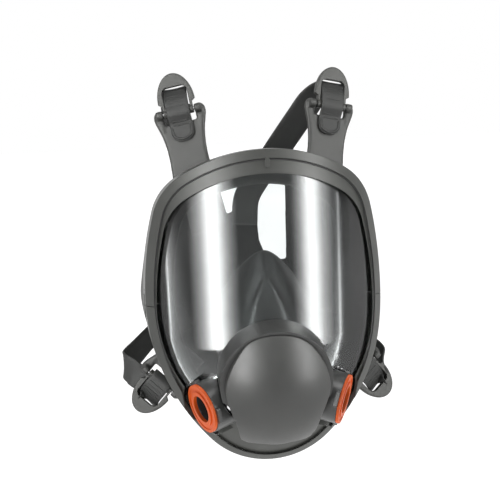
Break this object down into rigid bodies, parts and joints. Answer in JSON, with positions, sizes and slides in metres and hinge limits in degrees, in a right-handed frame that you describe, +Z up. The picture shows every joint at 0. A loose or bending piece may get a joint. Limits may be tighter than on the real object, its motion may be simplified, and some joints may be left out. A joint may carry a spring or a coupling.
{
  "type": "full-face painter's respirator mask",
  "caption": "Full-face respirator with a wraparound clear lens, side filter ports, snout-shaped exhalation valve cover, strap buckles and a slack rubber head harness",
  "frame": {"origin": "the middle of the face opening, on the lens's upright axis", "axes": "+Z up as worn, the front of the mask faces -Y, +X is the wearer's left"},
  "size_m": [0.1998, 0.1491, 0.2826],
  "materials": {
    "seal_elastomer": "soft satin grey elastomer",
    "cup_rubber": "soft dark grey rubber",
    "clear_plastic": "clear polycarbonate, polished",
    "frame_plastic": "dark grey satin moulding",
    "adapter_plastic": "dark grey satin moulding",
    "cover_plastic": "dark grey satin moulding",
    "buckle_plastic": "dark grey fine-grained moulding",
    "strap_rubber": "dark grey matt rubber strap",
    "valve_rubber": "thin dark silicone",
    "orange_rubber": "orange silicone gasket",
    "steel": "plain bright steel"
  },
  "bodies": {
    "mask": {"face_seal": "seal_elastomer", "nose_cup": "cup_rubber", "lens": "clear_plastic", "upper_frame": "frame_plastic", "lower_frame": "frame_plastic", "centre_adapter": "adapter_plastic", "adapter_gasket": "valve_rubber", "adapter_clamp_ring": "adapter_plastic", "harness_pad": "strap_rubber", "port_body_right": "adapter_plastic", "frame_screw_right": "steel", "frame_nut_right": "steel", "port_gasket_right": "orange_rubber", "inhalation_valve_seat_right": "adapter_plastic", "port_body_left": "adapter_plastic", "frame_screw_left": "steel", "frame_nut_left": "steel", "port_gasket_left": "orange_rubber", "inhalation_valve_seat_left": "adapter_plastic", "buckle_pin_upper_right": "steel", "strap_upper_right": "strap_rubber", "buckle_pin_upper_left": "steel", "strap_upper_left": "strap_rubber", "buckle_pin_lower_right": "steel", "strap_lower_right": "strap_rubber", "buckle_pin_lower_left": "steel", "strap_lower_left": "strap_rubber"},
    "buckle_upper_right_body": {"buckle_upper_right": "buckle_plastic", "strap_end_upper_right": "strap_rubber"},
    "buckle_upper_left_body": {"buckle_upper_left": "buckle_plastic", "strap_end_upper_left": "strap_rubber"},
    "buckle_lower_right_body": {"buckle_lower_right": "buckle_plastic", "strap_end_lower_right": "strap_rubber"},
    "buckle_lower_left_body": {"buckle_lower_left": "buckle_plastic", "strap_end_lower_left": "strap_rubber"},
    "exhalation_flap": {"exhalation_valve": "valve_rubber"},
    "inhalation_flap_right": {"inhalation_valve_right": "valve_rubber"},
    "inhalation_flap_left": {"inhalation_valve_left": "valve_rubber"},
    "cover": {"valve_cover": "cover_plastic"}
  },
  "joints": [
    {"name": "buckle_tilt_upper_right", "type": "hinge", "parent": "mask", "child": "buckle_upper_right_body", "pos_m": [-0.055, -0.049, 0.141], "axis": [-0.9598, 0.2061, -0.1906], "range_deg": [0, 40]},
    {"name": "buckle_tilt_upper_left", "type": "hinge", "parent": "mask", "child": "buckle_upper_left_body", "pos_m": [0.055, -0.049, 0.141], "axis": [-0.9598, -0.2061, 0.1906], "range_deg": [0, 40]},
    {"name": "buckle_tilt_lower_right", "type": "hinge", "parent": "mask", "child": "buckle_lower_right_body", "pos_m": [-0.0765, -0.035, -0.056], "axis": [0.7162, -0.1928, -0.6708], "range_deg": [0, 40]},
    {"name": "buckle_tilt_lower_left", "type": "hinge", "parent": "mask", "child": "buckle_lower_left_body", "pos_m": [0.0765, -0.035, -0.056], "axis": [0.7162, 0.1928, 0.6708], "range_deg": [0, 40]},
    {"name": "exhalation_flap_lift", "type": "slide", "parent": "mask", "child": "exhalation_flap", "axis": [0, -0.9563, -0.2924], "range_m": [0, 0.0015], "stiffness_N_per_m": 20},
    {"name": "inhalation_flap_lift_right", "type": "slide", "parent": "mask", "child": "inhalation_flap_right", "axis": [0.8987, 0.354, 0.2588], "range_m": [0, 0.0015], "stiffness_N_per_m": 20},
    {"name": "inhalation_flap_lift_left", "type": "slide", "parent": "mask", "child": "inhalation_flap_left", "axis": [-0.8987, 0.354, 0.2588], "range_m": [0, 0.0015], "stiffness_N_per_m": 20},
    {"name": "valve_cover_pull", "type": "slide", "parent": "mask", "child": "cover", "axis": [0, -0.9563, -0.2924], "range_m": [0, 0.045]}
  ]
}
